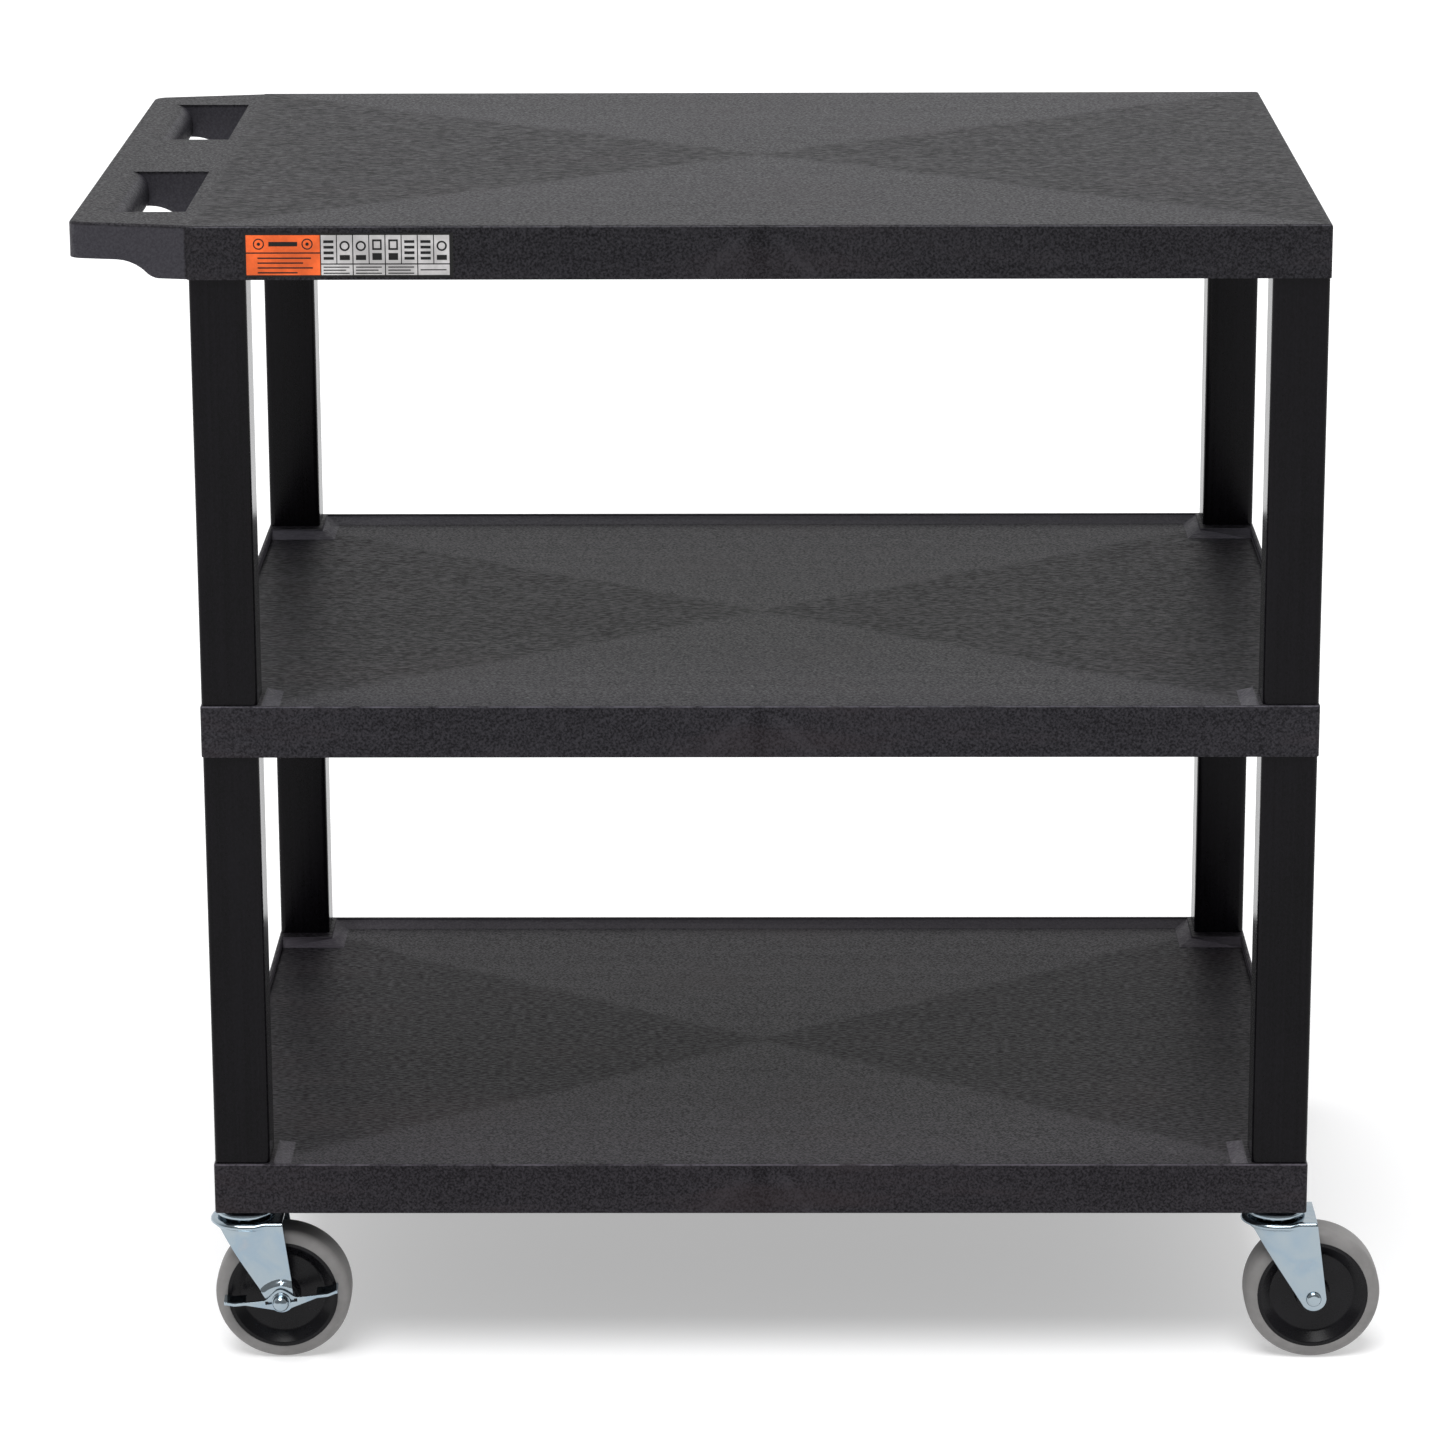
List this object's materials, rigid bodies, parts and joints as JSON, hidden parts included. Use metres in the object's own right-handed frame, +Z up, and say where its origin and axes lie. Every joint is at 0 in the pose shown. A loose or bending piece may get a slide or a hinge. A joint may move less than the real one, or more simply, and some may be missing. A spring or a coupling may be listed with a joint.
{
  "type": "rolling utility cart",
  "caption": "Three-shelf plastic utility cart with a push handle at one end, tube legs and swivel casters, two of them with foot brakes.",
  "frame": {"origin": "on the floor, half way along the whole object and half way across the shelves", "axes": "+X points away from the handle, +Y to the rear long side, +Z up"},
  "size_m": [0.9566, 0.6281, 0.8636],
  "materials": {
    "shelf_plastic": "fine moulded grain",
    "leg_plastic": "smooth gloss",
    "socket_plastic": "smooth",
    "zinc_steel": "bright zinc plate",
    "ball_steel": "polished",
    "core_plastic": "satin",
    "tread_rubber": "matt",
    "bush_plastic": "satin",
    "label_film": "satin film"
  },
  "bodies": {
    "cart": {"top_shelf": "shelf_plastic", "middle_shelf": "shelf_plastic", "bottom_shelf": "shelf_plastic", "front_label": "label_film", "upper_leg_front_left": "leg_plastic", "lower_leg_front_left": "leg_plastic", "stem_socket_front_left": "socket_plastic", "caster_stem_front_left": "zinc_steel", "raceway_cap_front_left": "zinc_steel", "upper_leg_front_right": "leg_plastic", "lower_leg_front_right": "leg_plastic", "stem_socket_front_right": "socket_plastic", "caster_stem_front_right": "zinc_steel", "raceway_cap_front_right": "zinc_steel", "upper_leg_rear_left": "leg_plastic", "lower_leg_rear_left": "leg_plastic", "stem_socket_rear_left": "socket_plastic", "caster_stem_rear_left": "zinc_steel", "raceway_cap_rear_left": "zinc_steel", "upper_leg_rear_right": "leg_plastic", "lower_leg_rear_right": "leg_plastic", "stem_socket_rear_right": "socket_plastic", "caster_stem_rear_right": "zinc_steel", "raceway_cap_rear_right": "zinc_steel", "grip_rings": "zinc_steel"},
    "swivel_front_left": {"fork_front_left": "zinc_steel", "swivel_balls_front_left": "ball_steel", "axle_sleeve_front_left": "zinc_steel", "axle_bolt_front_left": "zinc_steel", "axle_nut_front_left": "zinc_steel"},
    "wheel_front_left": {"wheel_core_front_left": "core_plastic", "wheel_tread_front_left": "tread_rubber", "wheel_bushes_front_left": "bush_plastic"},
    "brake_front_left": {"brake_pedal_front_left": "zinc_steel"},
    "swivel_front_right": {"fork_front_right": "zinc_steel", "swivel_balls_front_right": "ball_steel", "axle_sleeve_front_right": "zinc_steel", "axle_bolt_front_right": "zinc_steel", "axle_nut_front_right": "zinc_steel"},
    "wheel_front_right": {"wheel_core_front_right": "core_plastic", "wheel_tread_front_right": "tread_rubber", "wheel_bushes_front_right": "bush_plastic"},
    "swivel_rear_left": {"fork_rear_left": "zinc_steel", "swivel_balls_rear_left": "ball_steel", "axle_sleeve_rear_left": "zinc_steel", "axle_bolt_rear_left": "zinc_steel", "axle_nut_rear_left": "zinc_steel"},
    "wheel_rear_left": {"wheel_core_rear_left": "core_plastic", "wheel_tread_rear_left": "tread_rubber", "wheel_bushes_rear_left": "bush_plastic"},
    "brake_rear_left": {"brake_pedal_rear_left": "zinc_steel"},
    "swivel_rear_right": {"fork_rear_right": "zinc_steel", "swivel_balls_rear_right": "ball_steel", "axle_sleeve_rear_right": "zinc_steel", "axle_bolt_rear_right": "zinc_steel", "axle_nut_rear_right": "zinc_steel"},
    "wheel_rear_right": {"wheel_core_rear_right": "core_plastic", "wheel_tread_rear_right": "tread_rubber", "wheel_bushes_rear_right": "bush_plastic"}
  },
  "joints": [
    {"name": "swivel_front_left_turn", "type": "hinge", "parent": "cart", "child": "swivel_front_left", "pos_m": [-0.3718, -0.2795, 0.1194], "axis": [0, 0, 1], "continuous": true},
    {"name": "wheel_front_left_spin", "type": "hinge", "parent": "swivel_front_left", "child": "wheel_front_left", "pos_m": [-0.3443, -0.2795, 0.0508], "axis": [0, 1, 0], "continuous": true},
    {"name": "brake_front_left_rock", "type": "hinge", "parent": "swivel_front_left", "child": "brake_front_left", "pos_m": [-0.3443, -0.2795, 0.0508], "axis": [0, 1, 0], "range_deg": [0, 18]},
    {"name": "swivel_front_right_turn", "type": "hinge", "parent": "cart", "child": "swivel_front_right", "pos_m": [0.4, -0.2795, 0.1194], "axis": [0, 0, 1], "continuous": true},
    {"name": "wheel_front_right_spin", "type": "hinge", "parent": "swivel_front_right", "child": "wheel_front_right", "pos_m": [0.4275, -0.2795, 0.0508], "axis": [0, 1, 0], "continuous": true},
    {"name": "swivel_rear_left_turn", "type": "hinge", "parent": "cart", "child": "swivel_rear_left", "pos_m": [-0.3718, 0.2795, 0.1194], "axis": [0, 0, 1], "continuous": true},
    {"name": "wheel_rear_left_spin", "type": "hinge", "parent": "swivel_rear_left", "child": "wheel_rear_left", "pos_m": [-0.3443, 0.2795, 0.0508], "axis": [0, 1, 0], "continuous": true},
    {"name": "brake_rear_left_rock", "type": "hinge", "parent": "swivel_rear_left", "child": "brake_rear_left", "pos_m": [-0.3443, 0.2795, 0.0508], "axis": [0, 1, 0], "range_deg": [0, 18]},
    {"name": "swivel_rear_right_turn", "type": "hinge", "parent": "cart", "child": "swivel_rear_right", "pos_m": [0.4, 0.2795, 0.1194], "axis": [0, 0, 1], "continuous": true},
    {"name": "wheel_rear_right_spin", "type": "hinge", "parent": "swivel_rear_right", "child": "wheel_rear_right", "pos_m": [0.4275, 0.2795, 0.0508], "axis": [0, 1, 0], "continuous": true}
  ]
}
